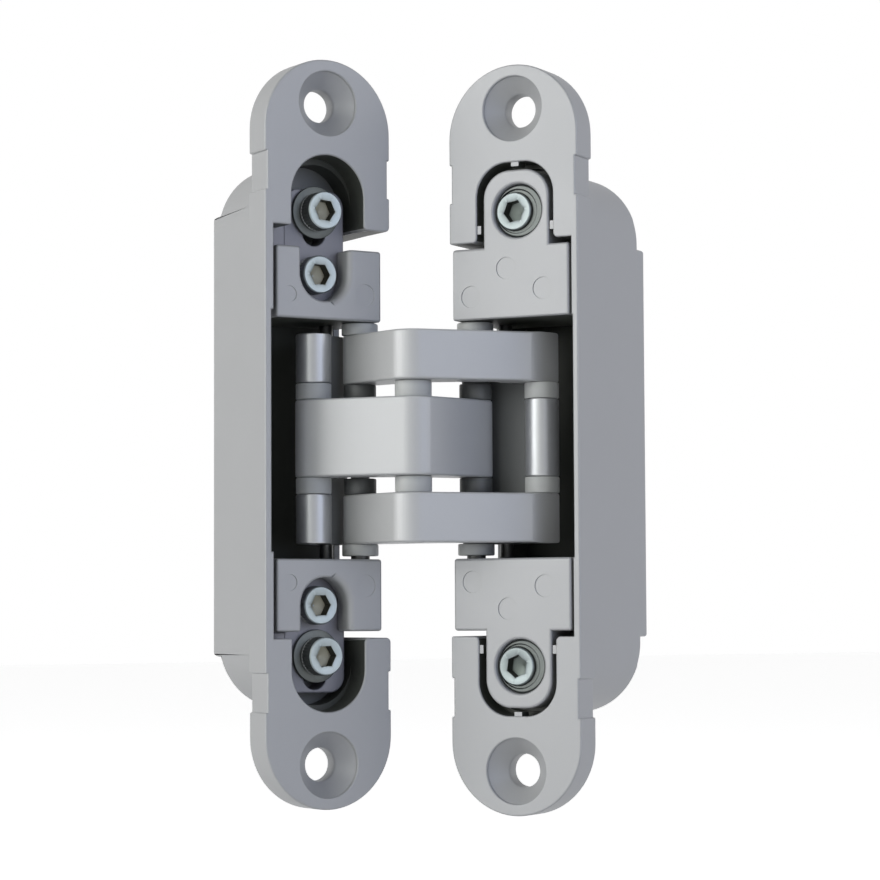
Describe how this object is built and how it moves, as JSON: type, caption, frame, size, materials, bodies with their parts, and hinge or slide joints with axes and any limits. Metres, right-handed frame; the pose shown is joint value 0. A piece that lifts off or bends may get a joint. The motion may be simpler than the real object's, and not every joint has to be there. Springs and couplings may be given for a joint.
{
  "type": "concealed door hinge",
  "caption": "Concealed hinge with obround-ended housings let into the door and the frame, joined by crossed arms on pins, with rear links and adjusting screws",
  "frame": {"origin": "centre of the seating face behind the left plate's flange, midway between its two fixing holes", "axes": "X runs across the left plate towards the fold, Y into the left housing, Z along the pivots, upwards"},
  "size_m": [0.0717, 0.0506, 0.1352],
  "materials": {
    "left_casting": "satin",
    "right_casting": "satin",
    "arm_casting": "satin",
    "zinc_screw": "bright zinc plate",
    "pin_steel": "ground",
    "link_steel": "satin",
    "grey_plastic": "matte"
  },
  "bodies": {
    "left_housing": {"left_housing": "left_casting", "left_adjusting_screws": "zinc_screw", "left_screw_washers": "zinc_screw"},
    "left_carrier": {"left_upper_block": "left_casting", "left_lower_block": "left_casting", "left_upper_slider": "left_casting", "left_lower_slider": "left_casting", "left_clamp_screws": "zinc_screw", "left_pivot_pin": "pin_steel", "left_pivot_washers": "grey_plastic", "left_rear_pin": "pin_steel"},
    "fork": {"fork_arm_upper": "arm_casting", "fork_arm_lower": "arm_casting", "centre_pin": "pin_steel", "right_end_pin": "pin_steel"},
    "centre_arm": {"centre_arm": "arm_casting", "centre_washers": "grey_plastic"},
    "left_link": {"left_link": "link_steel", "left_end_pin": "pin_steel", "left_end_washers": "grey_plastic"},
    "right_link": {"right_link": "link_steel", "right_end_washers": "grey_plastic"},
    "right_side": {"right_housing": "right_casting", "right_upper_block": "right_casting", "right_lower_block": "right_casting", "right_cam_bushes": "zinc_screw", "right_adjusting_screws": "zinc_screw", "right_pivot_pin": "pin_steel", "right_pivot_washers": "grey_plastic", "right_inner_washers": "grey_plastic", "right_sleeves": "grey_plastic", "right_rear_pin": "pin_steel"}
  },
  "joints": [
    {"name": "height_adjustment", "type": "slide", "parent": "left_housing", "child": "left_carrier", "axis": [0, 0, 1], "range_m": [-0.0006, 0.003]},
    {"name": "fold", "type": "hinge", "parent": "left_carrier", "child": "fork", "pos_m": [0.00919, -0.0014, -0.0012], "axis": [0, 0, 1], "range_deg": [-67.78, 34.68]},
    {"name": "centre_pivot", "type": "hinge", "parent": "fork", "child": "centre_arm", "pos_m": [0.01233, -0.01473, -0.0012], "axis": [0, 0, 1], "range_deg": [-12.72, 24.84]},
    {"name": "right_pivot", "type": "hinge", "parent": "centre_arm", "child": "right_side", "pos_m": [0.02645, -0.01337, -0.0012], "axis": [0, 0, 1], "range_deg": [-76.14, 38.96]},
    {"name": "left_link_pivot", "type": "hinge", "parent": "centre_arm", "child": "left_link", "pos_m": [0.00016, -0.00025, -0.0012], "axis": [0, 0, 1], "range_deg": [-20.52, 10.51]},
    {"name": "right_link_pivot", "type": "hinge", "parent": "fork", "child": "right_link", "pos_m": [0.03482, -0.02234, -0.0012], "axis": [0, 0, 1], "range_deg": [-4.35, 8.49]}
  ],
  "couplings": [
    {"joint": "centre_pivot", "follows": "fold", "ratio": -0.36621},
    {"joint": "right_pivot", "follows": "fold", "ratio": 1.123},
    {"joint": "left_link_pivot", "follows": "fold", "ratio": 0.30239},
    {"joint": "right_link_pivot", "follows": "fold", "ratio": -0.12499}
  ]
}
